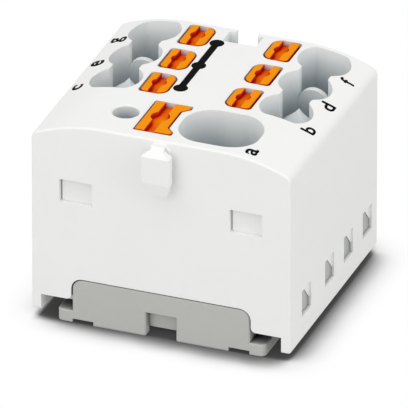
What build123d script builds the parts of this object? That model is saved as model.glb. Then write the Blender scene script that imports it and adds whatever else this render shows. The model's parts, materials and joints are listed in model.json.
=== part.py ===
"""Push-in power distribution block, one feed terminal and six outgoing terminals.

Frame, in millimetres: +Z up, z = 0 on the underside of the grey mounting base, origin in the
middle of that base. +X runs along the front face to the right, +Y from the front face to the back.
The front face carries the coupling lug, the back face the coupling slot.
Terminal a, the feed, lies at the front. Terminals b, d and f stand in a row on the right,
c, e and g in a row on the left.
"""

import os
from math import cos, radians, sin, sqrt

from build123d import *

# Terminal grid in plan
PITCH = 5.2  # centre distance of neighbouring outgoing terminals
ROW_COUNT = 3  # outgoing terminals in each row
WELL_R = 2.62  # radius of an outgoing wire well
WELL_HALF_L = 2.07  # from a well's centre to the flat that ends it along Y
WELL_END_R = 0.7  # rounding where that flat meets the round wall
WELL_LINK_HALF_W = 1.5  # half width of the passage that joins neighbouring wells
NOSE_R = 0.35  # rounding of the noses between the wells
CENTRE_HALF_W = 2.88  # from the middle plane to the nearer side of a small button's slot
SLOT_WALL = 0.32  # plastic between a small button's slot and its well
BACK_RIM = 0.6  # plastic behind the last wells
FRONT_RIM = 1.05  # plastic in front of the feed funnel
FEED_GAP = 1.06  # plastic between the feed funnel and the first wells
SIDE_RIM = 1.94  # plastic outside the wells

# Small push buttons
BUTTON_W = 2.52
BUTTON_L = 3.8
BUTTON_GAP = 0.18  # clearance round a button, apart from its outer side
BUTTON_GAP_OUT = 0.24  # wider clearance on the side of the well
BUTTON_INNER_R = 0.9  # rounding of the two corners next to the middle plane
BUTTON_OUTER_R = 0.4  # rounding of the two corners next to the well
BUTTON_RISE = 0.12  # how far a button's top stands above the housing's top
BUTTON_TRAVEL = 1.5
BUTTON_EDGE = 0.1  # bevel round a button's top
GROOVE_W = 0.95  # screwdriver groove across a small button
GROOVE_DEPTH = 0.55
GROOVE_DIMPLE_R = 0.75  # round recess in the middle of the groove
SHOULDER_REACH = 0.45  # how far a button's shoulder stands out under the housing's block
SHOULDER_H = 0.7
SHOULDER_L = 2.4
SHOULDER_GAP = 0.08  # play between shoulder and block at rest

# Feed funnel and feed button
FEED_W = 8.1
FEED_L = 6.75
FEED_R = 2.9
FEED_X = 4.55
FEED_DEPTH = 4.2  # straight part of the funnel, from the top
FEED_TAPER_H = 2.5
FEED_PASS_W = 4.8
FEED_PASS_L = 4.8
FEED_PASS_X = 4.3
FEED_BUTTON_W = 3.62
FEED_BUTTON_L = 5.92
FEED_BUTTON_WAIST = 0.7  # how far the side next to the funnel is drawn in
FEED_BUTTON_HORN = 0.51  # length of the full-width ends, before the slanted flank
FEED_BUTTON_WEB = 0.62  # plastic between the funnel and the waist of the button's slot
FEED_GROOVE_W = 1.05
FEED_GROOVE_SHIFT = -0.3  # groove centre, from the middle of the button
FEED_DIMPLE_R = 0.95
FEED_CORNER_R = 0.2

# Test socket
TEST_R = 1.3
TEST_X = -5.25
TEST_MOUTH = 0.15  # bevel at the socket's mouth

# Housing
TOTAL_H = 21.6
SKIRT_Z = 0.8  # lower edge of the side walls
SIDE_WALL = 0.95
END_WALL = 1.0
END_EDGE_Z = 2.5  # lower edge of the front and back walls
DOME_HALF_FLAT = 6.0
DOME_R = 17.0
SIDE_TOP_R = 0.9
EDGE_R = 0.22
LEG_TIP_R = 0.28
ARCH_GAP = 0.13  # clearance round the base plate in its arch
ARCH_FOOT_R = 0.5
BLOCK_Z = 13.0  # underside of the solid block that holds wells and button slots
WELL_DEPTH = 5.0  # straight part of a well, from the housing's top level
WELL_TAPER_H = 1.5
LINK_DEPTH = 4.1  # depth of the passage between two wells, from the top level
WELL_WEB_DROP = 1.9  # crown of an arched web between two wells, below the top level
WELL_WEB_R = 1.57
WELL_WEB_T = 0.6
RIDGE_DROP = 2.0  # peak of the ridge behind the first well, below the top level
RIDGE_TIP_HALF_W = 0.4  # steeper tip of that ridge
RIDGE_TIP_H = 0.45
RIDGE_FALL = 1.4  # how far its ramp falls towards the first well
WIRE_PASS_W = 3.4  # wire passage below a well, on the well's outer side
WIRE_PASS_L = 3.4
CHAMBER_HALF_L = 2.1
CHAMBER_INNER_X = 1.6

# Coupling lug and coupling slot
LUG_HALF_W = 1.44
LUG_PROUD = 1.6
LUG_HEAD_T = 0.9
LUG_NECK_HALF_W = 0.66
LUG_NECK_DROP = 0.3  # top of the neck, below the housing's top
LUG_HEAD_DROP = 0.62  # top of the head, below the housing's top
LUG_BEVEL_H = 0.56  # bevel at the head's front, down from its top
LUG_BEVEL_T = 0.52
LUG_SIDE_BEVEL_H = 0.53  # bevels at the head's sides
LUG_SIDE_BEVEL_W = 0.78
LUG_ROOT_HALF_W = 1.05  # wider root of the neck, against the wall
LUG_ROOT_T = 0.35
LUG_ROOT_BEVEL_W = 0.43
LUG_ROOT_BEVEL_H = 0.58
LUG_EDGE_R = 0.12
LUG_FACE_H = 2.8
LUG_NOSE_H = 1.3
LUG_NOSE_HALF_W = 1.06
LUG_NOSE_T = 0.25  # how far the nose's tip lies behind the head's face
SLOT_HALF_W = 1.75
SLOT_NECK_HALF_W = 1.15
SLOT_LIP = 0.65
SLOT_HEAD_L = 1.1
SLOT_DEPTH = 6.1
SLOT_LEAD = 1.0  # bevel that leads a lug into the slot

# Latch windows in the front wall, and the one in the back wall
LATCH_W = 3.36
LATCH_H = 2.5
LATCH_X = 8.75
LATCH_Z = 12.98
REAR_LATCH_X = 4.4
REAR_LATCH_Z = 5.6
LATCH_ARM_T = 0.7
LATCH_PLAY = 0.12
LATCH_HOOK = 0.5  # how far a hook reaches into its window
LATCH_HOOK_H = 2.2
LATCH_SEAT = 0.02  # gap under a hook
REAR_LATCH_W = 2.6

# Windows for the current bar's tabs in the side walls
TAB_WIN_L = 2.5
TAB_WIN_Z = 3.34
TAB_WIN_H = 2.76
TAB_CUT_L = 1.6  # slanted corner, along Y
TAB_CUT_H = 1.8  # slanted corner, along Z
TAB_SHIFT = -0.17  # window centre, from the well's centre
TAB_PLAY = 0.07
TAB_SINK = 0.25  # the tabs lie this far behind the wall's face

# Mounting base
BASE_HALF_W = 9.12
BASE_PLATE_T = 0.98
BASE_PLATE_TOP = 4.73
BASE_PLATE_R = 1.05
BASE_FLOOR_Z = 0.64
BASE_TOP_Z = 1.9
PAD_HALF_W = 6.96
PAD_STEP = 0.43
EAR_HALF_W = 10.7
EAR_Z = 0.05
EAR_TOP_Z = 1.25
EAR_R = 0.6
NOTCH_HALF_W = 1.58
NOTCH_TOP_Z = 2.5
BASE_RIM = 1.1
BASE_RIB = 2.0
BASE_BOSS_HALF_W = 2.2  # thicker middle of an end plate, behind its notch
BASE_BOSS_T = 0.6
BASE_EDGE = 0.12  # bevel round the end plates, ears and notches

# Contact carrier, current bar and clamping springs
CARRIER_T = 1.0
CARRIER_PLAY = 0.1
BAR_T = 0.7
BAR_LEG_T = 0.65
BAR_LEG_L = 3.0
BAR_LEG_H = 5.9  # height of a contact leg above the bar's web
BAR_LEG_PLAY = 0.05
BAR_BEND_R = 0.8
FEED_LEG_T = 0.7
FEED_LEG_L = 4.6
FEED_LEG_GAP = 0.15  # from the feed passage to its contact leg
FEED_LEG_H = 7.0
FEED_CHAMBER_REACH = 0.25  # feed chamber, past the left side of the button's slot
TEST_TONGUE_T = 0.5
TEST_TONGUE_L = 1.9
TEST_TONGUE_DROP = 1.0  # tongue's tip, below the end of the socket
SPRING_T = 0.3
SPRING_L = 3.2
FEED_SPRING_T = 0.4
FEED_SPRING_L = 4.8
SPRING_LOOP_R = 1.1
FEED_SPRING_LOOP_R = 1.2
SPRING_LOOP_Z = 9.4  # height of a loop's centre
SPRING_ANGLE = 65.0  # where the loop runs out into the clamping leg
SPRING_TIP_GAP = 0.3
SPRING_BACK_GAP = 0.35  # from the chamber's inner wall to the spring's standing leg
SPRING_SEAT = 0.02
SPRING_BUTTON_GAP = 0.2

CUT = 1.0  # how far a cutting tool runs past a face

# Sizes that follow from the ones above
well_x = CENTRE_HALF_W + BUTTON_GAP + BUTTON_W + BUTTON_GAP_OUT + SLOT_WALL + WELL_R
half_w = well_x + WELL_R + SIDE_RIM
row_span = (ROW_COUNT - 1) * PITCH
half_d = (BACK_RIM + 2 * WELL_HALF_L + row_span + FEED_GAP + FEED_L + FRONT_RIM) / 2
front_y = -half_d
back_y = half_d
last_row_y = back_y - BACK_RIM - WELL_HALF_L
row_ys = [last_row_y - PITCH * (ROW_COUNT - 1 - i) for i in range(ROW_COUNT)]
feed_y = front_y + FRONT_RIM + FEED_L / 2
ear_r = min(EAR_R, (EAR_HALF_W - BASE_HALF_W) / 2)
inner_x = half_w - SIDE_WALL
inner_y = half_d - END_WALL
slot_inner_x = CENTRE_HALF_W
button_x = slot_inner_x + BUTTON_GAP + BUTTON_W / 2
feed_slot_right = FEED_X - FEED_W / 2 - FEED_BUTTON_WEB + FEED_BUTTON_WAIST
feed_button_x = feed_slot_right - BUTTON_GAP - FEED_BUTTON_W / 2
button_low_z = BLOCK_Z + BUTTON_TRAVEL + SHOULDER_GAP  # lower end of a button's full-size part
carrier_top = BASE_TOP_Z + CARRIER_T
bar_top = carrier_top + BAR_T
leg_face_x = inner_x - BAR_LEG_PLAY - BAR_LEG_T
well_floor_z = TOTAL_H - WELL_DEPTH
link_floor_z = TOTAL_H - LINK_DEPTH
web_crown_z = TOTAL_H - WELL_WEB_DROP
web_axis_z = web_crown_z - WELL_WEB_R
web_side_z = web_axis_z + sqrt(WELL_WEB_R**2 - WELL_LINK_HALF_W**2)
feed_leg_x = FEED_PASS_X + FEED_PASS_W / 2 + FEED_LEG_GAP
feed_chamber_x0 = feed_button_x - FEED_BUTTON_W / 2 - BUTTON_GAP - FEED_CHAMBER_REACH
feed_chamber_x1 = feed_leg_x + FEED_LEG_T + TAB_PLAY
feed_chamber_y1 = row_ys[0] - CHAMBER_HALF_L - END_WALL
latch_depth = LATCH_ARM_T + LATCH_PLAY + LATCH_HOOK
latches = [  # centre, width, end of the housing, lower edge of the window
    (-LATCH_X, LATCH_W, -1, LATCH_Z),
    (LATCH_X, LATCH_W, -1, LATCH_Z),
    (-REAR_LATCH_X, REAR_LATCH_W, 1, REAR_LATCH_Z),
    (REAR_LATCH_X, REAR_LATCH_W, 1, REAR_LATCH_Z),
]
tab_ys_right = [feed_y] + [y + TAB_SHIFT for y in row_ys]
tab_ys_left = [y + TAB_SHIFT for y in row_ys]


def block(x0, x1, y0, y1, z0, z1):
    """Box between two corners."""
    size = Box(x1 - x0, y1 - y0, z1 - z0)
    return Pos((x0 + x1) / 2, (y0 + y1) / 2, (z0 + z1) / 2) * size


def raise_plan(sketch, z0, z1):
    """Prism on a plan outline, between two heights."""
    return extrude(Pos(0, 0, z0) * sketch, amount=z1 - z0)


def front_prism(points, y0, y1):
    """Prism on an outline of (x, z) points, between two places along Y."""
    face = make_face(Polyline(*[(x, y0, z) for x, z in points], close=True))
    return extrude(face, amount=y1 - y0, dir=(0, 1, 0))


def side_prism(points, x0, x1):
    """Prism on an outline of (y, z) points, between two places along X."""
    face = make_face(Polyline(*[(x0, y, z) for y, z in points], close=True))
    return extrude(face, amount=x1 - x0, dir=(1, 0, 0))


def mirrored(solid):
    """The same solid on the other side of the middle plane."""
    return mirror(solid, about=Plane.YZ)


def dome_z(x):
    """Height of the housing's top over a place x."""
    fall = max(abs(x) - DOME_HALF_FLAT, 0)
    return TOTAL_H - (DOME_R - sqrt(DOME_R**2 - fall**2))


def housing_shell():
    """Outer form: flat top that falls in an arc to both sides, with rounded edges."""
    mid_x = (DOME_HALF_FLAT + half_w) / 2
    side_z = dome_z(half_w)
    outline = Curve() + [
        Line((-half_w, 0, SKIRT_Z), (-half_w, 0, side_z)),
        ThreePointArc((-half_w, 0, side_z), (-mid_x, 0, dome_z(mid_x)), (-DOME_HALF_FLAT, 0, TOTAL_H)),
        Line((-DOME_HALF_FLAT, 0, TOTAL_H), (DOME_HALF_FLAT, 0, TOTAL_H)),
        ThreePointArc((DOME_HALF_FLAT, 0, TOTAL_H), (mid_x, 0, dome_z(mid_x)), (half_w, 0, side_z)),
        Line((half_w, 0, side_z), (half_w, 0, SKIRT_Z)),
        Line((half_w, 0, SKIRT_Z), (-half_w, 0, SKIRT_Z)),
    ]
    shell = extrude(make_face(outline), amount=half_d, both=True)
    shoulders = [e for e in shell.edges().filter_by(Axis.Y) if abs(e.center().Z - side_z) < NOSE_R]
    shell = fillet(shoulders, SIDE_TOP_R)
    ends = shell.faces().sort_by(Axis.Y)
    rims = [e for face in (ends[0], ends[-1]) for e in face.edges() if e.center().Z > SKIRT_Z + NOSE_R]
    return fillet(rims, EDGE_R)


def cut_corner_points(y, grow, sink=0.0):
    """Outline (y, z) of a tab or its window: a rectangle with the upper back corner slanted off."""
    y0 = y - TAB_WIN_L / 2 + sink
    y1 = y + TAB_WIN_L / 2 - sink
    z0 = TAB_WIN_Z + sink
    z1 = TAB_WIN_Z + TAB_WIN_H - sink
    return [(y0, z0), (y1, z0), (y1, z1 - TAB_CUT_H + grow), (y1 - TAB_CUT_L + grow, z1), (y0, z1)]


def well_plan(y):
    """Plan of one round well with its two flats."""
    disc = Pos(well_x, y) * Circle(WELL_R)
    return disc & Pos(well_x, y) * Rectangle(3 * WELL_R, 2 * WELL_HALF_L)


def well_row_plan():
    """Plan of a row of wells, joined by a narrower passage between rounded noses."""
    middle_y = (row_ys[0] + row_ys[-1]) / 2
    length = row_span + 2 * WELL_HALF_L
    plan = Pos(well_x, middle_y) * Rectangle(2 * WELL_LINK_HALF_W, length)
    for y in row_ys:
        plan += Pos(well_x, y) * Circle(WELL_R)
    plan = plan & Pos(well_x, middle_y) * Rectangle(3 * WELL_R, length)
    ends = []
    noses = []
    for v in plan.vertices():
        at_end = abs(abs(v.Y - middle_y) - length / 2) < NOSE_R / 2
        (ends if at_end else noses).append(v)
    plan = fillet(noses, NOSE_R)
    ends = [v for v in plan.vertices() if abs(abs(v.Y - middle_y) - length / 2) < NOSE_R / 2]
    return fillet(ends, WELL_END_R)


def hopper(mouth, passage, mouth_z, taper_z):
    """Space that narrows to a passage, both (x0, x1, y0, y1), with slopes that start outside the mouth."""
    above_z = 2 * mouth_z - taper_z
    low = BLOCK_Z - CUT
    top = TOTAL_H + CUT
    outlines = []
    for wide, narrow in ((mouth[:2], passage[:2]), (mouth[2:], passage[2:])):
        starts = [2 * w - n for w, n in zip(wide, narrow)]
        left = [(narrow[0], low), (narrow[0], taper_z), (starts[0], above_z), (starts[0], top)]
        right = [(starts[1], top), (starts[1], above_z), (narrow[1], taper_z), (narrow[1], low)]
        outlines.append((left + right, starts))
    (across, xs), (along, ys) = outlines
    return front_prism(across, *ys) & side_prism(along, *xs)


def ridge_web(ya, yb):
    """Web behind the first well: a pointed ridge at its back, and a ramp that falls to the front."""
    x0 = well_x - WELL_R
    x1 = well_x + WELL_R
    y0 = ya + WELL_HALF_L
    y1 = yb - WIRE_PASS_L / 2
    low = BLOCK_Z - CUT
    peak_z = TOTAL_H - RIDGE_DROP
    tip_z = peak_z - RIDGE_TIP_H
    ridge = [
        (x0, low),
        (x0, link_floor_z),
        (well_x - RIDGE_TIP_HALF_W, tip_z),
        (well_x, peak_z),
        (well_x + RIDGE_TIP_HALF_W, tip_z),
        (x1, link_floor_z),
        (x1, low),
    ]
    ramp = [(y0, low), (y0, peak_z - RIDGE_FALL), (y1, peak_z), (y1, low)]
    return front_prism(ridge, y0, y1) & side_prism(ramp, x0, x1)


def arch_web(ya, yb):
    """Thin arched web between two wells, over the wall that parts them lower down."""
    y0 = ya + WELL_HALF_L
    y1 = yb - WELL_HALF_L
    x0 = well_x - WELL_R
    x1 = well_x + WELL_R
    arch = block(x0, x1, y0, y0 + WELL_WEB_T, web_axis_z, web_crown_z)
    crown = Pos(well_x, (y0 + y1) / 2, web_axis_z) * Rot(90, 0, 0) * Cylinder(WELL_WEB_R, PITCH)
    return (arch & crown) + block(x0, x1, y0, y1, link_floor_z - CUT, web_side_z)


def well_voids():
    """Everything that is hollow above the terminal chambers of the right row."""
    row = raise_plan(well_row_plan(), link_floor_z, TOTAL_H + CUT)
    first_web = ridge_web(*row_ys[:2])
    row -= first_web
    for ya, yb in zip(row_ys[1:], row_ys[2:]):
        row -= arch_web(ya, yb)
    voids = [row]
    far_x = well_x + 2 * WELL_R
    half_pass = WIRE_PASS_L / 2
    for y in row_ys:
        mouth = (well_x - WELL_R, far_x, y - WELL_HALF_L, y + WELL_HALF_L)
        passage = (well_x + WELL_R - WIRE_PASS_W, far_x, y - half_pass, y + half_pass)
        narrowing = hopper(mouth, passage, well_floor_z, well_floor_z - WELL_TAPER_H)
        well = raise_plan(well_plan(y), BLOCK_Z - CUT, link_floor_z) & narrowing
        voids.append(well - first_web if y == row_ys[1] else well)
    return voids


def feed_void():
    """Feed funnel: straight mouth, slopes, and passage down to the feed chamber."""
    half_x, half_y = FEED_W / 2, FEED_L / 2
    mouth = (FEED_X - half_x, FEED_X + half_x, feed_y - half_y, feed_y + half_y)
    half_x, half_y = FEED_PASS_W / 2, FEED_PASS_L / 2
    passage = (FEED_PASS_X - half_x, FEED_PASS_X + half_x, feed_y - half_y, feed_y + half_y)
    mouth_z = TOTAL_H - FEED_DEPTH
    plan = Pos(FEED_X, feed_y) * RectangleRounded(FEED_W, FEED_L, FEED_R)
    void = raise_plan(plan, BLOCK_Z - CUT, TOTAL_H + CUT)
    return void & hopper(mouth, passage, mouth_z, mouth_z - FEED_TAPER_H)


def button_plan(grow_in, grow_out, y):
    """Plan of a small button in the right row, grown by its clearances for the slot."""
    x0 = button_x - BUTTON_W / 2 - grow_in
    x1 = button_x + BUTTON_W / 2 + grow_out
    length = BUTTON_L + 2 * grow_in
    plan = Pos((x0 + x1) / 2, y) * Rectangle(x1 - x0, length)
    inner = [v for v in plan.vertices() if v.X < button_x]
    plan = fillet(inner, BUTTON_INNER_R + grow_in)
    outer = [v for v in plan.vertices() if v.X > x1 - BUTTON_OUTER_R / 2]
    return fillet(outer, BUTTON_OUTER_R)


def feed_button_plan(grow):
    """Plan of the feed button: straight on the left, drawn in beside the round funnel."""
    x0 = feed_button_x - FEED_BUTTON_W / 2 - grow
    x1 = feed_button_x + FEED_BUTTON_W / 2 + grow
    half_l = FEED_BUTTON_L / 2 + grow
    horn = FEED_BUTTON_HORN + grow
    waist_x = x1 - FEED_BUTTON_WAIST
    flank = half_l - horn - FEED_BUTTON_WAIST
    points = [
        (x0, -half_l),
        (x1, -half_l),
        (x1, horn - half_l),
        (waist_x, -flank),
        (waist_x, flank),
        (x1, half_l - horn),
        (x1, half_l),
        (x0, half_l),
    ]
    plan = make_face(Polyline(*[(x, feed_y + y) for x, y in points], close=True))
    soft = [v for v in plan.vertices() if v.X > waist_x - NOSE_R]
    return fillet(soft, FEED_CORNER_R)


def chamber_voids():
    """Hollows under the block: one for each terminal, and one for the current bar and carrier."""
    voids = [block(-inner_x, inner_x, -inner_y, inner_y, SKIRT_Z - CUT, bar_top)]
    for y in row_ys:
        end_y = min(y + CHAMBER_HALF_L, inner_y)
        room = block(CHAMBER_INNER_X, inner_x, y - CHAMBER_HALF_L, end_y, bar_top - CUT, BLOCK_Z)
        voids += [room, mirrored(room)]
    voids.append(
        block(feed_chamber_x0, feed_chamber_x1, -inner_y, feed_chamber_y1, bar_top - CUT, BLOCK_Z)
    )
    tab_room_z = TAB_WIN_Z + TAB_WIN_H + END_WALL
    tab_half_l = BAR_LEG_L / 2 + CARRIER_PLAY
    tab_room_x = feed_chamber_x1 + END_WALL
    tab_room_ys = (feed_y - tab_half_l, feed_y + tab_half_l)
    voids.append(block(tab_room_x, inner_x, *tab_room_ys, bar_top - CUT, tab_room_z))
    socket_half = TEST_R + TAB_PLAY
    voids.append(
        block(
            TEST_X - socket_half,
            feed_chamber_x0 - SPRING_T,
            feed_y - socket_half,
            feed_y + socket_half,
            bar_top - CUT,
            BLOCK_Z,
        )
    )
    return voids


def latch_voids():
    """Windows for the carrier's hooks, and the channels of its arms inside the walls."""
    voids = []
    for x, width, side, low in latches:
        half = width / 2
        top = low + LATCH_H
        window = sorted((side * (inner_y - CUT), side * (half_d + CUT)))
        channel = sorted((side * (inner_y - latch_depth), side * inner_y))
        voids.append(block(x - half, x + half, *window, low, top))
        voids.append(block(x - half, x + half, *channel, SKIRT_Z, top))
    return voids


def skirt_voids():
    """Raised lower edges of the end walls, and the arches that take the base's end plates."""
    half_arch = BASE_HALF_W + ARCH_GAP
    arch_top = BASE_PLATE_TOP + ARCH_GAP
    arch_r = BASE_PLATE_R + ARCH_GAP
    low = SKIRT_Z - CUT
    plan = Rectangle(2 * half_arch, arch_top - low)
    plan = fillet(plan.vertices().group_by(Axis.Y)[-1], arch_r)
    plan = Pos(0, (arch_top + low) / 2) * plan
    edge_h = END_EDGE_Z - low
    plan += Pos(0, low + edge_h / 2) * Rectangle(2 * inner_x, edge_h)
    feet = [
        v
        for v in plan.vertices()
        if abs(v.Y - END_EDGE_Z) < ARCH_GAP and abs(abs(v.X) - half_arch) < ARCH_GAP
    ]
    plan = fillet(feet, ARCH_FOOT_R)
    through = extrude(Plane.XZ * plan, amount=half_d + CUT, both=True)
    middle = block(-half_w, half_w, CUT - inner_y, inner_y - CUT, low - CUT, arch_top + CUT)
    return through - middle


def tab_window_voids():
    """Slanted windows in the side walls, each in a shallow rectangular recess."""
    voids = []
    for side, ys in ((1, tab_ys_right), (-1, tab_ys_left)):
        for y in ys:
            through = side_prism(cut_corner_points(y, 0), inner_x - CUT, half_w + CUT)
            half = TAB_WIN_L / 2
            shelf = block(
                half_w - TAB_SINK, half_w + CUT, y - half, y + half, TAB_WIN_Z, TAB_WIN_Z + TAB_WIN_H
            )
            for void in (through, shelf):
                voids.append(void if side > 0 else mirrored(void))
    return voids


def coupling_lug():
    """T-shaped lug on the front face: bevelled head with a tapered nose, neck and wider root."""
    head_top = TOTAL_H - LUG_HEAD_DROP
    face_top = head_top - LUG_BEVEL_H
    face_low = face_top - LUG_FACE_H
    tip_z = face_low - LUG_NOSE_H
    face_y = front_y - LUG_PROUD
    bevel_y = face_y + LUG_BEVEL_T
    head_back = face_y + LUG_HEAD_T
    side = [
        (face_y, face_low),
        (face_y, face_top),
        (bevel_y, head_top),
        (head_back, head_top),
        (head_back, tip_z),
        (face_y + LUG_NOSE_T, tip_z),
    ]
    half = [
        (LUG_NOSE_HALF_W, tip_z),
        (LUG_HALF_W, face_low),
        (LUG_HALF_W, head_top - LUG_SIDE_BEVEL_H),
        (LUG_HALF_W - LUG_SIDE_BEVEL_W, head_top),
    ]
    outline = half + [(-x, z) for x, z in reversed(half)]
    head = side_prism(side, -LUG_HALF_W, LUG_HALF_W) & front_prism(outline, face_y, head_back)
    upright = [e for e in head.edges().filter_by(Axis.Z) if e.center().Y < face_y + LUG_NOSE_T]
    head = fillet(upright, LUG_EDGE_R)
    neck_top = TOTAL_H - LUG_NECK_DROP
    neck_side = [
        (front_y + CUT, tip_z),
        (head_back, tip_z),
        (bevel_y, head_top),
        (head_back, neck_top),
        (front_y + CUT, neck_top),
    ]
    neck = side_prism(neck_side, -LUG_NECK_HALF_W, LUG_NECK_HALF_W)
    half = [
        (LUG_ROOT_HALF_W, tip_z),
        (LUG_ROOT_HALF_W, neck_top - LUG_ROOT_BEVEL_H),
        (LUG_ROOT_HALF_W - LUG_ROOT_BEVEL_W, neck_top),
    ]
    outline = half + [(-x, z) for x, z in reversed(half)]
    return head + neck + front_prism(outline, front_y - LUG_ROOT_T, front_y + CUT)


def coupling_slot():
    """T-shaped slot in the back wall that takes the next block's lug from above."""
    low = TOTAL_H - SLOT_DEPTH
    top = TOTAL_H + CUT
    lip_y = back_y - SLOT_LIP
    head_y = lip_y - SLOT_HEAD_L
    slot = block(-SLOT_HALF_W, SLOT_HALF_W, head_y, lip_y, low, top)
    slot += block(-SLOT_NECK_HALF_W, SLOT_NECK_HALF_W, lip_y - CUT, back_y + CUT, low, top)
    lead = [(head_y + CUT, top), (head_y - SLOT_LEAD - CUT, top), (head_y + CUT, TOTAL_H - SLOT_LEAD - CUT)]
    return slot + side_prism(lead, -SLOT_HALF_W, SLOT_HALF_W)


def housing():
    """White housing."""
    body = housing_shell() + coupling_lug()
    tools = [feed_void(), coupling_slot()]
    for well in well_voids():
        tools += [well, mirrored(well)]
    for y in row_ys:
        slot = raise_plan(button_plan(BUTTON_GAP, BUTTON_GAP_OUT, y), BLOCK_Z - CUT, TOTAL_H + CUT)
        tools += [slot, mirrored(slot)]
    tools.append(raise_plan(feed_button_plan(BUTTON_GAP), BLOCK_Z - CUT, TOTAL_H + CUT))
    socket_h = TOTAL_H - BLOCK_Z
    tools.append(Pos(TEST_X, feed_y, BLOCK_Z + socket_h / 2) * Cylinder(TEST_R, socket_h + 2 * CUT))
    mouth_r = TEST_R + TEST_MOUTH
    mouth = Cone(TEST_R, mouth_r + CUT, TEST_MOUTH + CUT)
    tools.append(Pos(TEST_X, feed_y, TOTAL_H + (CUT - TEST_MOUTH) / 2) * mouth)
    tools += chamber_voids() + latch_voids() + [skirt_voids()] + tab_window_voids()
    body = body - tools
    tips = [
        e
        for e in body.edges().filter_by(Axis.X)
        if abs(e.center().Z - SKIRT_Z) < LEG_TIP_R / 2 and e.center().Y < EDGE_R - half_d
    ]
    return fillet(tips, LEG_TIP_R) if tips else body


def contact_carrier():
    """White carrier that closes the housing from below and hooks into its windows."""
    half_x = inner_x - CARRIER_PLAY
    half_y = inner_y - CARRIER_PLAY
    body = block(-half_x, half_x, -half_y, half_y, BASE_TOP_Z, carrier_top)
    boss_x = BASE_BOSS_HALF_W + CARRIER_PLAY
    boss_y = half_d - BASE_PLATE_T - BASE_BOSS_T - CARRIER_PLAY
    for side in (-1, 1):
        ys = sorted((side * (half_y + CUT), side * boss_y))
        body -= block(-boss_x, boss_x, *ys, BASE_TOP_Z - CUT, carrier_top + CUT)
    for x, window, side, low in latches:
        half = window / 2 - LATCH_PLAY
        arm_top = low + LATCH_H - LATCH_PLAY
        hook_z = low + LATCH_SEAT
        outer = side * (inner_y - LATCH_PLAY)
        inner = outer - side * LATCH_ARM_T
        tip = side * (inner_y + LATCH_HOOK)
        profile = [
            (inner, BASE_TOP_Z),
            (inner, arm_top),
            (outer, arm_top),
            (tip, hook_z + LATCH_HOOK_H),
            (tip, hook_z),
            (outer, hook_z),
            (outer, BASE_TOP_Z),
        ]
        body += side_prism(profile, x - half, x + half)
    return body


def mounting_base():
    """Grey base: end plates that fill the arches, a ribbed floor, and ears under the side walls."""
    half_y = half_d
    floor = block(-BASE_HALF_W, BASE_HALF_W, -half_y, half_y, PAD_STEP, BASE_TOP_Z)
    ears = block(-EAR_HALF_W, EAR_HALF_W, -half_y, half_y, EAR_Z, EAR_TOP_Z)
    ears = fillet(ears.edges().filter_by(Axis.Z), ear_r)
    under = block(-BASE_HALF_W, BASE_HALF_W, -half_y - CUT, half_y + CUT, EAR_Z - CUT, PAD_STEP)
    pads = block(-PAD_HALF_W, PAD_HALF_W, -half_y, half_y, 0, PAD_STEP)
    body = floor + (ears - under) + pads
    plate = Rectangle(2 * BASE_HALF_W, BASE_PLATE_TOP - BASE_TOP_Z + CUT)
    plate = fillet(plate.vertices().group_by(Axis.Y)[-1], BASE_PLATE_R)
    plate = Pos(0, (BASE_PLATE_TOP + BASE_TOP_Z - CUT) / 2) * plate
    upright = extrude(Plane.XZ * plate, amount=BASE_PLATE_T)
    body += Pos(0, BASE_PLATE_T - half_y, 0) * upright
    body += Pos(0, half_y, 0) * upright
    pocket_x = PAD_HALF_W - BASE_RIM
    pocket_y = half_y - BASE_RIM
    for sx in (-1, 1):
        for sy in (-1, 1):
            xs = sorted((sx * BASE_RIB / 2, sx * pocket_x))
            ys = sorted((sy * BASE_RIB / 2, sy * pocket_y))
            body -= block(*xs, *ys, -CUT, BASE_FLOOR_Z)
    boss_y = half_y - BASE_PLATE_T - BASE_BOSS_T
    for side in (-1, 1):
        ys = sorted((side * (half_y - BASE_PLATE_T), side * boss_y))
        body += block(-BASE_BOSS_HALF_W, BASE_BOSS_HALF_W, *ys, BASE_FLOOR_Z, carrier_top)
        ys = sorted((side * (half_y + CUT), side * (half_y - BASE_PLATE_T)))
        body -= block(-NOTCH_HALF_W, NOTCH_HALF_W, *ys, -CUT, NOTCH_TOP_Z)
        ys = sorted((side * half_y, side * BASE_RIB / 2))
        body -= block(-NOTCH_HALF_W, NOTCH_HALF_W, *ys, -CUT, BASE_FLOOR_Z)
    rims = [
        e
        for e in body.edges()
        if abs(abs(e.center().Y) - half_y) < BASE_EDGE / 2 and e.center().Z > EAR_TOP_Z - BASE_EDGE
    ]
    return chamfer(rims, BASE_EDGE)


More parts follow.
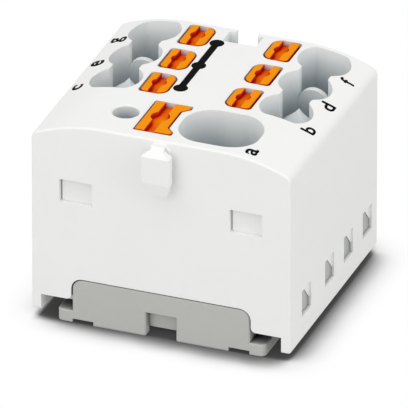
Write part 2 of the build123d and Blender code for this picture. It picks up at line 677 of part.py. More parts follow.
def current_bar():
    """Tinned copper bar: a web with a leg bent up at every terminal."""
    web_half_x = leg_face_x - BAR_LEG_T
    web_y0 = -inner_y + LATCH_ARM_T + LATCH_PLAY + LATCH_HOOK + CARRIER_PLAY
    web_y1 = inner_y - LATCH_ARM_T - LATCH_PLAY - LATCH_HOOK - CARRIER_PLAY
    bar = block(-web_half_x, web_half_x, web_y0, web_y1, carrier_top, bar_top)
    outer_x = leg_face_x + BAR_LEG_T
    leg_z = bar_top + BAR_LEG_H
    tab_leg_z = TAB_WIN_Z + TAB_WIN_H + CARRIER_PLAY
    legs = [(1, feed_y, tab_leg_z)]
    legs += [(side, y, leg_z) for side in (1, -1) for y in row_ys]
    for side, y, top in legs:
        y0 = y - BAR_LEG_L / 2
        y1 = y + BAR_LEG_L / 2
        foot = block(web_half_x - CUT, outer_x, y0, y1, carrier_top, bar_top)
        leg = block(leg_face_x, outer_x, y0, y1, carrier_top, top)
        knee = foot + leg
        bend = [
            e
            for e in knee.edges().filter_by(Axis.Y)
            if e.center().X > outer_x - TAB_PLAY and e.center().Z < bar_top - TAB_PLAY
        ]
        knee = fillet(bend, BAR_BEND_R * BAR_LEG_T)
        bar += knee if side > 0 else mirrored(knee)
    for side, ys in ((1, tab_ys_right), (-1, tab_ys_left)):
        for y in ys:
            outline = cut_corner_points(y, 0, TAB_PLAY)
            tab = side_prism(outline, outer_x - BAR_LEG_PLAY, half_w - TAB_SINK)
            bar += tab if side > 0 else mirrored(tab)
    feed_half = FEED_LEG_L / 2
    bar += block(
        feed_leg_x,
        feed_leg_x + FEED_LEG_T,
        feed_y - feed_half,
        feed_y + feed_half,
        carrier_top,
        bar_top + FEED_LEG_H,
    )
    tongue_half = TEST_TONGUE_L / 2
    bar += block(
        TEST_X - TEST_TONGUE_T / 2,
        TEST_X + TEST_TONGUE_T / 2,
        feed_y - tongue_half,
        feed_y + tongue_half,
        carrier_top,
        BLOCK_Z - TEST_TONGUE_DROP,
    )
    return bar


def clamping_spring(back_x, tip_x, y, loop_r, thick, width):
    """Leaf spring bent from a strip: standing leg, loop, and the leg that presses the wire."""
    axis_x = back_x + loop_r
    turn = radians(SPRING_ANGLE)
    run_x = axis_x + loop_r * cos(turn)
    run_z = SPRING_LOOP_Z + loop_r * sin(turn)
    tip_z = run_z - (tip_x - run_x) / sin(turn) * cos(turn)
    half_turn = radians((180 + SPRING_ANGLE) / 2)
    arc_mid = (axis_x + loop_r * cos(half_turn), y, SPRING_LOOP_Z + loop_r * sin(half_turn))
    foot = (back_x, y, bar_top + SPRING_SEAT)
    path = Curve() + [
        Line(foot, (back_x, y, SPRING_LOOP_Z)),
        ThreePointArc((back_x, y, SPRING_LOOP_Z), arc_mid, (run_x, y, run_z)),
        Line((run_x, y, run_z), (tip_x, y, tip_z)),
    ]
    strip = Plane(origin=foot, z_dir=(0, 0, 1)) * Rectangle(thick, width)
    return sweep(strip, path=path)


def spring_top_z(back_x, loop_r, thick, x):
    """Height of the upper face of a clamping leg over a place x."""
    turn = radians(SPRING_ANGLE)
    run_x = back_x + loop_r + loop_r * cos(turn)
    run_z = SPRING_LOOP_Z + loop_r * sin(turn)
    return run_z - (x - run_x) * cos(turn) / sin(turn) + thick / 2 / sin(turn)


def button_foot(x0, x1, back_x, loop_r, thick, y, length):
    """Lower end of a button: flat over the spring's loop, slanted along its clamping leg."""
    loop_top = SPRING_LOOP_Z + loop_r + thick / 2 + SPRING_BUTTON_GAP
    low = spring_top_z(back_x, loop_r, thick, x1) + SPRING_BUTTON_GAP
    slope = cos(radians(SPRING_ANGLE)) / sin(radians(SPRING_ANGLE))
    knee_x = x1 - (loop_top - low) / slope
    top = button_low_z + CUT
    points = [(x0, top), (x1, top), (x1, low), (max(knee_x, x0), loop_top), (x0, loop_top)]
    return front_prism(points, y - length / 2, y + length / 2)


spring_back_x = CHAMBER_INNER_X + SPRING_BACK_GAP
feed_spring_back_x = feed_chamber_x0 + SPRING_BACK_GAP


def small_button(y):
    """Orange push button of an outgoing terminal in the right row."""
    top = TOTAL_H + BUTTON_RISE
    body = raise_plan(button_plan(0, 0, y), button_low_z, top)
    rim = body.faces().sort_by(Axis.Z)[-1].edges()
    body = chamfer(rim, BUTTON_EDGE)
    x0 = button_x - BUTTON_W / 2
    x1 = button_x + BUTTON_W / 2
    foot_l = BUTTON_L - 2 * BUTTON_INNER_R
    body += button_foot(x0, x1, spring_back_x, SPRING_LOOP_R, SPRING_T, y, foot_l)
    shoulder_top = BLOCK_Z - SHOULDER_GAP
    body += block(
        x0 - BUTTON_GAP - SHOULDER_REACH,
        x1 + BUTTON_GAP_OUT + SHOULDER_REACH,
        y - SHOULDER_L / 2,
        y + SHOULDER_L / 2,
        shoulder_top - SHOULDER_H,
        shoulder_top,
    )
    floor_z = top - GROOVE_DEPTH
    body -= block(
        button_x - GROOVE_W / 2, button_x + GROOVE_W / 2, y - BUTTON_L, y + BUTTON_L, floor_z, top + CUT
    )
    dimple = Cylinder(GROOVE_DIMPLE_R, GROOVE_DEPTH + CUT)
    return body - Pos(button_x, y, floor_z + (GROOVE_DEPTH + CUT) / 2) * dimple


def feed_button():
    """Larger orange push button of the feed terminal."""
    top = TOTAL_H + BUTTON_RISE
    body = raise_plan(feed_button_plan(0), button_low_z, top)
    rim = body.faces().sort_by(Axis.Z)[-1].edges()
    body = chamfer(rim, BUTTON_EDGE)
    x0 = feed_button_x - FEED_BUTTON_W / 2
    x1 = feed_button_x + FEED_BUTTON_W / 2 - FEED_BUTTON_WAIST
    foot_l = FEED_BUTTON_L - 2 * FEED_BUTTON_HORN - 2 * FEED_BUTTON_WAIST
    body += button_foot(
        x0, x1, feed_spring_back_x, FEED_SPRING_LOOP_R, FEED_SPRING_T, feed_y, foot_l
    )
    shoulder_top = BLOCK_Z - SHOULDER_GAP
    body += block(
        x1 - CUT,
        feed_slot_right + SHOULDER_REACH,
        feed_y - SHOULDER_L,
        feed_y + SHOULDER_L,
        shoulder_top - SHOULDER_H,
        shoulder_top,
    )
    floor_z = top - GROOVE_DEPTH
    groove_x = feed_button_x + FEED_GROOVE_SHIFT
    body -= block(
        groove_x - FEED_GROOVE_W / 2,
        groove_x + FEED_GROOVE_W / 2,
        feed_y - FEED_BUTTON_L,
        feed_y + FEED_BUTTON_L,
        floor_z,
        top + CUT,
    )
    dimple = Cylinder(FEED_DIMPLE_R, GROOVE_DEPTH + CUT)
    return body - Pos(groove_x, feed_y, floor_z + (GROOVE_DEPTH + CUT) / 2) * dimple


def build():
    """All pieces by name."""
    pieces = {
        "housing": housing(),
        "contact_carrier": contact_carrier(),
        "mounting_base": mounting_base(),
        "current_bar": current_bar(),
        "push_button_a": feed_button(),
        "clamping_spring_a": clamping_spring(
            feed_spring_back_x,
            feed_leg_x - SPRING_TIP_GAP,
            feed_y,
            FEED_SPRING_LOOP_R,
            FEED_SPRING_T,
            FEED_SPRING_L,
        ),
    }
    for y, right, left in zip(row_ys, "bdf", "ceg"):
        button = small_button(y)
        spring = clamping_spring(
            spring_back_x, leg_face_x - SPRING_TIP_GAP, y, SPRING_LOOP_R, SPRING_T, SPRING_L
        )
        pieces["push_button_" + right] = button
        pieces["push_button_" + left] = mirrored(button)
        pieces["clamping_spring_" + right] = spring
        pieces["clamping_spring_" + left] = mirrored(spring)
    return pieces


os.makedirs("parts", exist_ok=True)
for name, piece in build().items():
    export_step(piece, f"parts/{name}.step")
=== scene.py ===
import json
import math

import bmesh
import bpy
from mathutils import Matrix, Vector
from mathutils.bvhtree import BVHTree


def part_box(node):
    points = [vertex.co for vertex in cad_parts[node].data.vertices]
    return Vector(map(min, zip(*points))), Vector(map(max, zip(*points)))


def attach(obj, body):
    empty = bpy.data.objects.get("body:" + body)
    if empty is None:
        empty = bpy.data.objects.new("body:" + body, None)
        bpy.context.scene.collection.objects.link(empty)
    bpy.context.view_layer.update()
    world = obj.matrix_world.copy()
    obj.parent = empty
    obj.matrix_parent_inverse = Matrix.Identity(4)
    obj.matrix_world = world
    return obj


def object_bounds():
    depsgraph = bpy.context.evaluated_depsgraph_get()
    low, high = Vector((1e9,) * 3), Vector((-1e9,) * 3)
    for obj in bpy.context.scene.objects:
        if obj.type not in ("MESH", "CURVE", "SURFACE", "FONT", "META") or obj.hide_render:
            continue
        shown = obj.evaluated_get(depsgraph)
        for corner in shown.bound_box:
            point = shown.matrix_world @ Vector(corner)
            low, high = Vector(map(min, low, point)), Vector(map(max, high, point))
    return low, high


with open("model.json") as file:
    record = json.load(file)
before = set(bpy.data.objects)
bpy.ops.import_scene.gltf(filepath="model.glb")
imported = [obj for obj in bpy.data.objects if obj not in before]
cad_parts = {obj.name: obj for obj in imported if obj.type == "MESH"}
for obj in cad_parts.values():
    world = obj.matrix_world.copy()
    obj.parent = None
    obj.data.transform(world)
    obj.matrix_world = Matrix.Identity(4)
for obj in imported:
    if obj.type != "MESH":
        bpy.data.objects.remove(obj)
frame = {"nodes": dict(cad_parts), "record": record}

cad_low, cad_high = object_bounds()
MM = 0.001

# Camera, fitted to the photograph
CAMERA_AZIMUTH = math.radians(20.854)
CAMERA_ELEVATION = math.radians(28.441)
CAMERA_DISTANCE = 1743 * MM
CLIP_RATIO = 10  # how many times nearer and farther than the object the camera still sees
VIEW_WIDTH = 39.498 * MM  # width of the picture at the object
AIM_RIGHT = -0.1093 * MM  # aim point, along the picture's axes
AIM_UP = 6.912 * MM
AIM_BASE_Z = 0.8 * MM
SENSOR_WIDTH = 36.0  # in millimetres, as Blender takes it

# Prints on the top face
INK_HEIGHT = 0.012 * MM
INK_STEP = 0.25 * MM  # spacing of the cuts that let a print follow the arc of the top
WELD = 0.001 * MM  # corners of an outline that are closer than this become one
PROBE_HEIGHT = 5 * MM  # how far above the object the search for its surface starts
LINE_X = -2.05 * MM
LINE_HALF_W = 0.36 * MM
DOT_R = 0.725 * MM
DOT_SIDES = 40
DOT_KEYS = "ceg"  # buttons that the dots belong to, from the front
DOT_PITCH = 4.92 * MM
DOT_FORWARD = 0.2 * MM  # how far the first dot lies in front of the middle of its button
LETTER_SIZE = 2.1  # size before a letter is fitted to its rectangle, on the scale of the widening
LETTER_TURN = math.radians(90)
# letter, left, right, low and high edge of its rectangle in plan, in mm, and the widening of its strokes
LETTERS = (
    ("a", 8.2, 9.4, -11.1, -9.9, 0.05),
    ("b", 11.1, 12.5, -3.6, -2.5, 0.05),
    ("d", 11.1, 12.55, 1.45, 2.6, 0.05),
    ("f", 11.1, 12.55, 7.1, 7.8, 0.05),
    ("c", -12.7, -11.7, -3.25, -2.0, 0.065),
    ("e", -12.8, -11.5, 2.0, 3.25, 0.05),
    ("g", -12.7, -11.1, 7.1, 8.3, 0.05),
)

# Painted shade in gaps, recesses and wells. A stop is a place on the scale and a factor on the colour
# there
PAINTED_SHADE_SAMPLES = 16
GAP_REACH = 0.8 * MM  # surfaces this near make a gap
# painted shade in the gaps of the white pieces
WHITE_GAP_PAINTED_SHADE = ((0.0, (0.05, 0.04, 0.04)), (0.2, (0.38, 0.36, 0.36)), (0.4, 1.0))
# painted shade in the gaps of the grey pieces
GREY_GAP_PAINTED_SHADE = ((0.0, 0.04), (0.35, 0.12), (0.5, 0.5), (0.62, 1.0))
LOW_GAPS_Z = 9.0 * MM  # the white pieces get painted gap shade only below this
RECESS_REACH = 3.0 * MM
# painted shade in the recesses of the grey pieces
GREY_RECESS_PAINTED_SHADE = ((0.0, 0.05), (0.2, 0.35), (0.35, 0.75), (0.46, 1.0))
GROOVE_REACH = 2.0 * MM
# painted shade of the buttons, darker and redder in their grooves and gaps
ORANGE_PAINTED_SHADE = (
    (0.0, (0.08, 0.004, 1.0)),
    (0.3, (0.38, 0.02, 1.0)),
    (0.5, (0.8, 0.10, 1.0)),
    (0.62, (1.0, 0.34, 1.0)),
    (0.8, (1.0, 0.84, 1.0)),
    (0.93, 1.0),
)
WELL_SHADE_DEPTH = 10.0 * MM  # depth under the top face at the end of the scale of the wells' painted shade
# painted shade of the wells, darker and a little bluer the deeper a place lies
WELL_PAINTED_SHADE = (
    (0.0, (0.98, 0.995, 1.0)),
    (0.15, (0.84, 0.87, 0.89)),
    (0.25, (0.72, 0.765, 0.80)),
    (0.37, (0.56, 0.615, 0.66)),
    (0.52, (0.43, 0.48, 0.52)),
    (0.68, (0.34, 0.38, 0.42)),
    (0.94, (0.34, 0.38, 0.42)),
    (1.0, 1.0),
)
WELL_REACH = 5.0 * MM
WELL_OPEN = 0.96  # openness from which a surface isn't taken for a well's
WELL_CLOSED = 0.79  # openness below which it is a well's in full
WELLS_FRONT_Y = -10.99 * MM  # in front of this lie the front wall and the lug
WINDOWS_BACK_Y = -9.0 * MM  # the front windows show what is in front of this and below the next height
WINDOWS_HIGH_Z = 16.0 * MM
TEST_HOLE_X = -5.25 * MM
TEST_HOLE_Y = -7.575 * MM
TEST_HOLE_R = 1.5 * MM  # a little more than the hole's own radius
TEST_HOLE_RATE = 2.5  # how much faster than in the wells the painted shade grows dark in this narrow hole
TOP_Z = 21.6 * MM
DOME_FLAT = 6.0 * MM  # half width of the flat middle of the top
DOME_R = 17.0 * MM

# Surfaces. Colours are linear, and scales of noise count features per metre
PLASTICS = {
    "white_plastic": {
        "colour": (0.90, 0.90, 0.885),
        "spread": 0.006,
        "rough": 0.5,
        "grain": 5000,
        "bump": 0.25,
        "shine": 0.4,
        "recesses": ((GAP_REACH, WHITE_GAP_PAINTED_SHADE),),
        "low_only": True,
        "wells": True,
    },
    "carrier_plastic": {
        "colour": (0.86, 0.87, 0.86),
        "spread": 0.008,
        "rough": 0.5,
        "grain": 5000,
        "bump": 0.25,
        "shine": 0.4,
        "recesses": ((GAP_REACH, WHITE_GAP_PAINTED_SHADE),),
        "low_only": True,
    },
    "grey_plastic": {
        "colour": (0.50, 0.505, 0.48),
        "spread": 0.012,
        "rough": 0.5,
        "grain": 5000,
        "bump": 0.3,
        "shine": 0.3,
        "recesses": ((RECESS_REACH, GREY_RECESS_PAINTED_SHADE), (GAP_REACH, GREY_GAP_PAINTED_SHADE)),
    },
    "orange_plastic": {
        "colour": (0.90, 0.30, 0.002),
        "spread": 0.015,
        "rough": 0.45,
        "grain": 4000,
        "bump": 0.2,
        "shine": 0.02,
        "recesses": ((GROOVE_REACH, ORANGE_PAINTED_SHADE),),
    },
}
METALS = {
    "tinned_metal": {"colour": (0.43, 0.445, 0.425), "rough": 0.4, "along": (1, 1, 0.1)},
    "spring_steel": {"colour": (0.60, 0.61, 0.62), "rough": 0.35, "along": (1, 0.1, 1)},
}
NOISE_DETAIL = 3.0
SHADE_START = 0.3  # values of the noise between which a colour runs from its dark to its light shade
SHADE_END = 0.7
CLOUD_SCALE = 180
PLASTIC_DETAIL = 6.0
PLASTIC_SHEEN = 0.06  # how far the roughness strays to each side
PLASTIC_RELIEF = 0.02 * MM
METAL_LINE_SCALE = 900
METAL_DETAIL = 4.0
METAL_PATCH_SCALE = 350
METAL_DARK = 0.9
METAL_LIGHT = 1.06
METAL_SHEEN = 0.1
METAL_BUMP = 0.3
METAL_RELIEF = 0.01 * MM
INK_DARK = (0.003, 0.003, 0.003)
INK_LIGHT = (0.006, 0.006, 0.0065)
INK_SCALE = 2500
INK_DETAIL = 4.0
INK_SMOOTH = 0.45
INK_ROUGH = 0.6
INK_SHINE = 0.02

# Floor
FLOOR_BOUNCE = 0.6  # how much of the light that falls on the floor comes back up
FLOOR_HALF = 3.0
FLOOR_DROP = 0.02 * MM
FLOOR_SAMPLES = 64
SHADOW_REACH = 4.5 * MM  # how far the painted contact shadow reaches from the object
SHADOW_TONES = (  # openness to the sky, and the floor's painted brightness there
    (0.0, 0.03),
    (0.4, 0.06),
    (0.5, 0.10),
    (0.58, 0.25),
    (0.66, 0.49),
    (0.74, 0.71),
    (0.82, 0.87),
    (0.92, 0.97),
    (0.99, 1.0),
)
# The painted contact shadow is weaker at the front left, which the lamps reach best, and deeper along
# the front towards the right
FADE_SIDE_X = -12.6 * MM  # the weaker part lies to the left of this, or in front of the next
FADE_FRONT_Y = -12.1 * MM
FADE_EDGE = 0.8 * MM  # width over which it sets in
DARK_SIDE_X = -8.0 * MM  # the weaker part ends and the deeper one starts here
LIT_SIDE_X = -13.5 * MM
LIT_SHARE = 0.7  # share of the shadow that is gone from LIT_SIDE_X on
FRONT_EDGE = 1.5 * MM  # width over which the deeper part sets in, in front of FADE_FRONT_Y
FRONT_END_X = 8.0 * MM
FRONT_DEEPER = 0.28  # how much deeper the shadow is from FRONT_END_X on

# Light
LAMP_SIZE = 0.3
LAMPS = (  # name, place and power
    ("key", (-0.05, -0.1, 0.32), 0.25),
    ("front", (-0.12, -0.35, 0.16), 0.33),
    ("side", (0.35, -0.08, 0.16), 0.34),
)
WORLD_LEVEL = 0.85
WHITE_LEVEL = 1.0


def empty_tree(holder, output_type):
    """Node tree of a material or a world with nothing but its output."""
    holder.use_nodes = True
    nodes = holder.node_tree.nodes
    nodes.clear()
    return nodes, holder.node_tree.links, nodes.new(output_type)


def new_material(name):
    """Node material with a Principled shader that drives its surface."""
    material = bpy.data.materials.new(name)
    nodes, links, output = empty_tree(material, "ShaderNodeOutputMaterial")
    shader = nodes.new("ShaderNodeBsdfPrincipled")
    links.new(shader.outputs["BSDF"], output.inputs["Surface"])
    return material, nodes, links, shader


def noise(nodes, links, scale, detail=NOISE_DETAIL, stretch=(1, 1, 1)):
    """Noise in object space."""
    place = nodes.new("ShaderNodeTexCoord")
    mapping = nodes.new("ShaderNodeMapping")
    mapping.inputs["Scale"].default_value = stretch
    texture = nodes.new("ShaderNodeTexNoise")
    texture.inputs["Scale"].default_value = scale
    texture.inputs["Detail"].default_value = detail
    links.new(place.outputs["Object"], mapping.inputs["Vector"])
    links.new(mapping.outputs["Vector"], texture.inputs["Vector"])
    return texture.outputs["Fac"]


def openness(nodes, reach, samples=PAINTED_SHADE_SAMPLES):
    """One in the open, and less the more of the sky surfaces within reach hide."""
    node = nodes.new("ShaderNodeAmbientOcclusion")
    node.samples = samples
    node.inputs["Distance"].default_value = reach
    return node.outputs["AO"]


def object_axes(nodes, links):
    """X, Y and Z of a place on the object."""
    place = nodes.new("ShaderNodeTexCoord")
    axes = nodes.new("ShaderNodeSeparateXYZ")
    links.new(place.outputs["Object"], axes.inputs["Vector"])
    return axes.outputs["X"], axes.outputs["Y"], axes.outputs["Z"]


def arithmetic(nodes, links, operation, first, second):
    """Result of an operation on two numbers, each a socket or a float."""
    node = nodes.new("ShaderNodeMath")
    node.operation = operation
    for socket, value in zip(node.inputs, (first, second)):
        if isinstance(value, float):
            socket.default_value = value
        else:
            links.new(value, socket)
    return node.outputs["Value"]


def rescale(nodes, links, value, start, end, low=0.0, high=1.0):
    """Runs from low to high while a value runs from start to end, and stops there."""
    span = nodes.new("ShaderNodeMapRange")
    span.inputs["From Min"].default_value = start
    span.inputs["From Max"].default_value = end
    span.inputs["To Min"].default_value = low
    span.inputs["To Max"].default_value = high
    links.new(value, span.inputs["Value"])
    return span.outputs["Result"]


def tone_ramp(nodes, links, factor, tones):
    """Ramp through pairs of a place and a brightness or colour."""
    ramp = nodes.new("ShaderNodeValToRGB")
    stops = ramp.color_ramp.elements
    for i, (place, tone) in enumerate(tones):
        stop = stops[i] if i < len(stops) else stops.new(place)
        stop.position = place
        stop.color = (tone, tone, tone, 1) if isinstance(tone, float) else (*tone, 1)
    links.new(factor, ramp.inputs["Fac"])
    return ramp.outputs["Color"]


def mixed_colour(nodes, links, share, colour):
    """White that turns into a colour by a share."""
    blend = nodes.new("ShaderNodeMix")
    blend.data_type = "RGBA"
    sockets = {s.identifier: s for s in blend.inputs}
    sockets["A_Color"].default_value = (1, 1, 1, 1)
    links.new(share, sockets["Factor_Float"])
    links.new(colour, sockets["B_Color"])
    return next(s for s in blend.outputs if s.identifier == "Result_Color")


def vary_colour(nodes, links, shader, factor, dark, light):
    """Base colour that runs between two shades with a factor."""
    shade = tone_ramp(nodes, links, factor, ((SHADE_START, dark), (SHADE_END, light)))
    links.new(shade, shader.inputs["Base Color"])


def apply_painted_shade(nodes, links, shader, factor):
    """Multiplies the base colour that a shader has so far by a factor of painted shade."""
    painted_shade = nodes.new("ShaderNodeVectorMath")
    painted_shade.operation = "MULTIPLY"
    plain = shader.inputs["Base Color"].links[0].from_socket
    links.new(plain, painted_shade.inputs[0])
    links.new(factor, painted_shade.inputs[1])
    links.new(painted_shade.outputs["Vector"], shader.inputs["Base Color"])


def paint_recess_shade(nodes, links, shader, reach, painted_shade_stops, low_only):
    """Paints shade into the base colour where other surfaces are near, everywhere or only low on the
    object.
    """
    painted_shade = tone_ramp(nodes, links, openness(nodes, reach), painted_shade_stops)
    if low_only:
        z = object_axes(nodes, links)[2]
        below = arithmetic(nodes, links, "LESS_THAN", z, LOW_GAPS_Z)
        painted_shade = mixed_colour(nodes, links, below, painted_shade)
    apply_painted_shade(nodes, links, shader, painted_shade)


def paint_well_shade(nodes, links, shader):
    """Paints shade into the base colour of the wells, the darker the deeper a place lies under the domed
    top.
    """

    def result(operation, first, second):
        return arithmetic(nodes, links, operation, first, second)

    x, y, z = object_axes(nodes, links)

    # The top falls away beside its flat middle, here as a parabola close to its arc
    beside = result("SUBTRACT", result("MULTIPLY", x, x), DOME_FLAT**2)
    drop = result("DIVIDE", result("MAXIMUM", beside, 0.0), 2.0 * (DOME_R + DOME_FLAT))
    depth = result("SUBTRACT", result("SUBTRACT", TOP_Z, z), drop)

    # The painted shade grows dark faster in the narrow test hole
    aside = result("SUBTRACT", x, TEST_HOLE_X)
    ahead = result("SUBTRACT", y, TEST_HOLE_Y)
    off_axis = result("ADD", result("MULTIPLY", aside, aside), result("MULTIPLY", ahead, ahead))
    in_hole = result("LESS_THAN", off_axis, TEST_HOLE_R**2)
    rate = result("ADD", result("MULTIPLY", in_hole, TEST_HOLE_RATE - 1.0), 1.0)
    scale = result("MULTIPLY", result("DIVIDE", depth, WELL_SHADE_DEPTH), rate)

    # The front wall, the lug and what shows through the front windows get no painted shade
    near = result("LESS_THAN", y, WINDOWS_BACK_Y)
    low = result("LESS_THAN", z, WINDOWS_HIGH_Z)
    wall = result("LESS_THAN", y, WELLS_FRONT_Y)
    spared = result("MAXIMUM", result("MULTIPLY", near, low), wall)
    hidden = rescale(nodes, links, openness(nodes, WELL_REACH), WELL_OPEN, WELL_CLOSED)
    share = result("MULTIPLY", hidden, result("SUBTRACT", 1.0, spared))
    painted_shade = tone_ramp(nodes, links, scale, WELL_PAINTED_SHADE)
    apply_painted_shade(nodes, links, shader, mixed_colour(nodes, links, share, painted_shade))


def vary_roughness(nodes, links, shader, factor, low, high):
    """Roughness that runs between two levels with a factor."""
    links.new(rescale(nodes, links, factor, 0.0, 1.0, low, high), shader.inputs["Roughness"])


def add_bump(nodes, links, shader, height, strength, distance):
    """Bump from a height, with its distance in metres."""
    bump = nodes.new("ShaderNodeBump")
    bump.inputs["Strength"].default_value = strength
    bump.inputs["Distance"].default_value = distance
    links.new(height, bump.inputs["Height"])
    links.new(bump.outputs["Normal"], shader.inputs["Normal"])


def moulded_plastic(
    name, colour, spread, rough, grain, bump, shine, recesses, low_only=False, wells=False
):
    """Moulded plastic: faint clouding, an eroded mould texture, uneven sheen, and painted shade in its
    recesses and wells.
    """
    material, nodes, links, shader = new_material(name)
    cloud = noise(nodes, links, CLOUD_SCALE)
    fine = noise(nodes, links, grain, PLASTIC_DETAIL)
    dark = [c * (1 - spread) for c in colour]
    light = [min(c * (1 + spread), 1) for c in colour]
    vary_colour(nodes, links, shader, cloud, dark, light)
    for reach, painted_shade_stops in recesses:
        paint_recess_shade(nodes, links, shader, reach, painted_shade_stops, low_only)
    if wells:
        paint_well_shade(nodes, links, shader)
    vary_roughness(nodes, links, shader, fine, rough - PLASTIC_SHEEN, rough + PLASTIC_SHEEN)
    add_bump(nodes, links, shader, fine, bump, PLASTIC_RELIEF)
    shader.inputs["Specular IOR Level"].default_value = shine
    return material


def drawn_metal(name, colour, rough, along):
    """Rolled or tinned strip with faint drawing lines."""
    material, nodes, links, shader = new_material(name)
    lines = noise(nodes, links, METAL_LINE_SCALE, METAL_DETAIL, along)
    patches = noise(nodes, links, METAL_PATCH_SCALE)
    shader.inputs["Metallic"].default_value = 1.0
    dark = [c * METAL_DARK for c in colour]
    light = [min(c * METAL_LIGHT, 1) for c in colour]
    vary_colour(nodes, links, shader, patches, dark, light)
    vary_roughness(nodes, links, shader, lines, rough - METAL_SHEEN, rough + METAL_SHEEN)
    add_bump(nodes, links, shader, lines, METAL_BUMP, METAL_RELIEF)
    return material


def ink():
    """Black pad-printed ink with a slightly uneven film."""
    material, nodes, links, shader = new_material("ink")
    film = noise(nodes, links, INK_SCALE, INK_DETAIL)
    vary_colour(nodes, links, shader, film, INK_DARK, INK_LIGHT)
    vary_roughness(nodes, links, shader, film, INK_SMOOTH, INK_ROUGH)
    shader.inputs["Specular IOR Level"].default_value = INK_SHINE
    return material


def slot_materials():
    """Material of each slot in the record."""
    made = {name: moulded_plastic(name, **look) for name, look in PLASTICS.items()}
    made.update({name: drawn_metal(name, **look) for name, look in METALS.items()})
    return made


def dress_nodes(materials):
    """Gives every CAD node the material of its slot in the record."""
    slots = {part["node"]: part["material_slot"] for part in frame["record"]["subparts"]}
    for name, node in frame["nodes"].items():
        node.data.materials.clear()
        node.data.materials.append(materials[slots[name]])


def top_surface():
    """Search tree of the housing's surface."""
    node = frame["nodes"]["housing"]
    return BVHTree.FromObject(node, bpy.context.evaluated_depsgraph_get())


def print_piece(name, mesh, material):
    """New piece from a mesh, carried by the housing's body."""
    piece = bpy.data.objects.new(name, mesh)
    bpy.context.scene.collection.objects.link(piece)
    piece.data.materials.append(material)
    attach(piece, "block")


def lay_on_top(form, surface):
    """Turns a flat outline in plan into a thin film that follows the top of the housing."""
    bmesh.ops.remove_doubles(form, verts=form.verts, dist=WELD)
    xs = [v.co.x for v in form.verts]
    left = min(xs)
    cuts = int((max(xs) - left) / INK_STEP)
    for i in range(1, cuts + 1):
        x = left + i * INK_STEP
        parts = form.verts[:] + form.edges[:] + form.faces[:]
        bmesh.ops.bisect_plane(form, geom=parts, plane_co=(x, 0, 0), plane_no=(1, 0, 0))
    sky = cad_high.z + PROBE_HEIGHT
    for v in form.verts:
        hit = surface.ray_cast(Vector((v.co.x, v.co.y, sky)), Vector((0, 0, -1)))[0]
        v.co.z = hit.z
    top = bmesh.ops.extrude_face_region(form, geom=form.faces[:])
    raised = [v for v in top["geom"] if isinstance(v, bmesh.types.BMVert)]
    for v in raised:
        v.co.z += INK_HEIGHT
    bmesh.ops.recalc_face_normals(form, faces=form.faces[:])


def letter(text, x0, x1, y0, y1, bold, surface, material):
    """Printed lower-case letter that fills a rectangle in plan."""
    curve = bpy.data.curves.new("outline_" + text, "FONT")
    curve.body = text
    curve.size = LETTER_SIZE
    curve.offset = bold
    source = bpy.data.objects.new("outline_" + text, curve)
    mesh = bpy.data.meshes.new_from_object(source)
    bpy.data.objects.remove(source)
    bpy.data.curves.remove(curve)
    form = bmesh.new()
    form.from_mesh(mesh)
    for v in form.verts:
        x, y = v.co.x, v.co.y
        v.co.x = x * math.cos(LETTER_TURN) - y * math.sin(LETTER_TURN)
        v.co.y = x * math.sin(LETTER_TURN) + y * math.cos(LETTER_TURN)
    xs = [v.co.x for v in form.verts]
    ys = [v.co.y for v in form.verts]
    left, right = min(xs), max(xs)
    low, high = min(ys), max(ys)
    for v in form.verts:
        v.co.x = (x0 + (x1 - x0) * (v.co.x - left) / (right - left)) * MM
        v.co.y = (y0 + (y1 - y0) * (v.co.y - low) / (high - low)) * MM
    lay_on_top(form, surface)
    form.to_mesh(mesh)
    form.free()
    mesh.name = "print_" + text
    print_piece("print_" + text, mesh, material)


def circuit_mark(surface, material):
    """Black line that joins three dots, one beside each button of the left row."""
    low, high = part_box("push_button_" + DOT_KEYS[0])
    first = (low.y + high.y) / 2 - DOT_FORWARD
    centres = [first + i * DOT_PITCH for i in range(len(DOT_KEYS))]
    form = bmesh.new()
    for y in centres:
        ring = []
        for i in range(DOT_SIDES):
            angle = 2 * math.pi * i / DOT_SIDES
            x = LINE_X + DOT_R * math.cos(angle)
            ring.append(form.verts.new((x, y + DOT_R * math.sin(angle), 0)))
        form.faces.new(ring)
    reach = math.sqrt(DOT_R**2 - LINE_HALF_W**2)
    for ya, yb in zip(centres, centres[1:]):
        corners = (
            (LINE_X - LINE_HALF_W, ya + reach),
            (LINE_X + LINE_HALF_W, ya + reach),
            (LINE_X + LINE_HALF_W, yb - reach),
            (LINE_X - LINE_HALF_W, yb - reach),
        )
        form.faces.new([form.verts.new((x, y, 0)) for x, y in corners])
    lay_on_top(form, surface)
    mesh = bpy.data.meshes.new("print_circuit")
    form.to_mesh(mesh)
    form.free()
    print_piece("print_circuit", mesh, material)


def show_directly(nodes, links, output, plain, shown):
    """Shows one shader to the camera, reflections and glass, and the plain one to all other light."""
    path = nodes.new("ShaderNodeLightPath")
    mirrored = arithmetic(
        nodes, links, "MAXIMUM", path.outputs["Is Camera Ray"], path.outputs["Is Glossy Ray"]
    )
    direct = arithmetic(nodes, links, "MAXIMUM", mirrored, path.outputs["Is Transmission Ray"])
    choose = nodes.new("ShaderNodeMixShader")
    links.new(direct, choose.inputs["Fac"])
    links.new(plain, choose.inputs[1])
    links.new(shown, choose.inputs[2])
    links.new(choose.outputs["Shader"], output.inputs["Surface"])


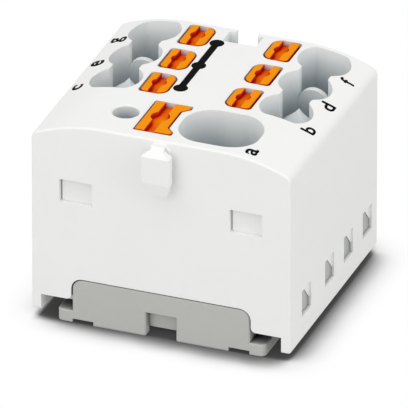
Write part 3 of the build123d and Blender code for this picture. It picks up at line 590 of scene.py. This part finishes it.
def contact_shadow(nodes, links):
    """White with a painted contact shadow of the object, which only the camera sees."""

    def result(operation, first, second):
        return arithmetic(nodes, links, operation, first, second)

    x, y = object_axes(nodes, links)[:2]
    left_of = result("SUBTRACT", FADE_SIDE_X, x)
    before = result("SUBTRACT", FADE_FRONT_Y, y)

    # Deeper along the front, the further to the right
    front = rescale(nodes, links, before, 0.0, FRONT_EDGE)
    along = rescale(nodes, links, x, DARK_SIDE_X, FRONT_END_X, 0.0, FRONT_DEEPER)
    deeper = result("ADD", result("MULTIPLY", front, along), 1.0)
    closed = result("SUBTRACT", 1.0, openness(nodes, SHADOW_REACH, FLOOR_SAMPLES))
    open_share = result("SUBTRACT", 1.0, result("MULTIPLY", closed, deeper))
    shade = tone_ramp(nodes, links, open_share, SHADOW_TONES)

    # Weaker at the front left
    outside = rescale(nodes, links, result("MAXIMUM", left_of, before), 0.0, FADE_EDGE)
    lit = rescale(nodes, links, x, DARK_SIDE_X, LIT_SIDE_X, 0.0, LIT_SHARE)
    kept = result("SUBTRACT", 1.0, result("MULTIPLY", outside, lit))
    path = nodes.new("ShaderNodeLightPath")
    share = result("MULTIPLY", kept, path.outputs["Is Camera Ray"])
    return mixed_colour(nodes, links, share, shade)


def floor_material():
    """Pale floor that shows white to the camera, with the object's contact shadow painted on."""
    material = bpy.data.materials.new("floor")
    nodes, links, output = empty_tree(material, "ShaderNodeOutputMaterial")
    white = nodes.new("ShaderNodeEmission")
    white.inputs["Strength"].default_value = WHITE_LEVEL
    links.new(contact_shadow(nodes, links), white.inputs["Color"])
    dim = nodes.new("ShaderNodeBsdfDiffuse")
    dim.inputs["Color"].default_value = (FLOOR_BOUNCE, FLOOR_BOUNCE, FLOOR_BOUNCE, 1)
    show_directly(nodes, links, output, dim.outputs["BSDF"], white.outputs["Emission"])
    return material


def make_floor():
    """Floor plane just under the base."""
    mesh = bpy.data.meshes.new("floor")
    corners = [(-1, -1), (1, -1), (1, 1), (-1, 1)]
    places = [(x * FLOOR_HALF, y * FLOOR_HALF, -FLOOR_DROP) for x, y in corners]
    mesh.from_pydata(places, [], [(0, 1, 2, 3)])
    floor = bpy.data.objects.new("floor", mesh)
    bpy.context.scene.collection.objects.link(floor)
    mesh.materials.append(floor_material())


def make_world():
    """White surroundings for the camera, softer ones for the light that falls on the object."""
    world = bpy.data.worlds.new("studio")
    bpy.context.scene.world = world
    nodes, links, output = empty_tree(world, "ShaderNodeOutputWorld")
    soft = nodes.new("ShaderNodeBackground")
    soft.inputs["Strength"].default_value = WORLD_LEVEL
    white = nodes.new("ShaderNodeBackground")
    white.inputs["Strength"].default_value = WHITE_LEVEL
    show_directly(nodes, links, output, soft.outputs["Background"], white.outputs["Background"])


def area_light(name, place, power):
    """Soft square light that faces the object."""
    lamp = bpy.data.lights.new(name, "AREA")
    lamp.shape = "SQUARE"
    lamp.size = LAMP_SIZE
    lamp.energy = power
    holder = bpy.data.objects.new(name, lamp)
    bpy.context.scene.collection.objects.link(holder)
    holder.location = place
    aim = (cad_low + cad_high) / 2 - Vector(place)
    holder.rotation_mode = "QUATERNION"
    holder.rotation_quaternion = aim.to_track_quat("-Z", "Y")


def make_camera():
    """Camera at the photograph's place."""
    a, e = CAMERA_AZIMUTH, CAMERA_ELEVATION
    back = Vector((math.sin(a) * math.cos(e), -math.cos(a) * math.cos(e), math.sin(e)))
    right = Vector((math.cos(a), math.sin(a), 0))
    up = back.cross(right)
    aim = right * AIM_RIGHT + up * AIM_UP + Vector((0, 0, AIM_BASE_Z))
    lens = bpy.data.cameras.new("camera")
    lens.sensor_width = SENSOR_WIDTH
    lens.lens = SENSOR_WIDTH * CAMERA_DISTANCE / VIEW_WIDTH
    lens.clip_start = CAMERA_DISTANCE / CLIP_RATIO
    lens.clip_end = CAMERA_DISTANCE * CLIP_RATIO
    camera = bpy.data.objects.new("camera", lens)
    bpy.context.scene.collection.objects.link(camera)
    camera.location = aim + back * CAMERA_DISTANCE
    camera.rotation_mode = "QUATERNION"
    camera.rotation_quaternion = (-back).to_track_quat("-Z", "Y")
    bpy.context.scene.camera = camera


make_camera()
make_world()
make_floor()
for lamp_entry in LAMPS:
    area_light(*lamp_entry)
bpy.context.scene.view_settings.view_transform = "Standard"

dress_nodes(slot_materials())
housing_top = top_surface()
black = ink()
circuit_mark(housing_top, black)
for letter_entry in LETTERS:
    letter(*letter_entry, housing_top, black)
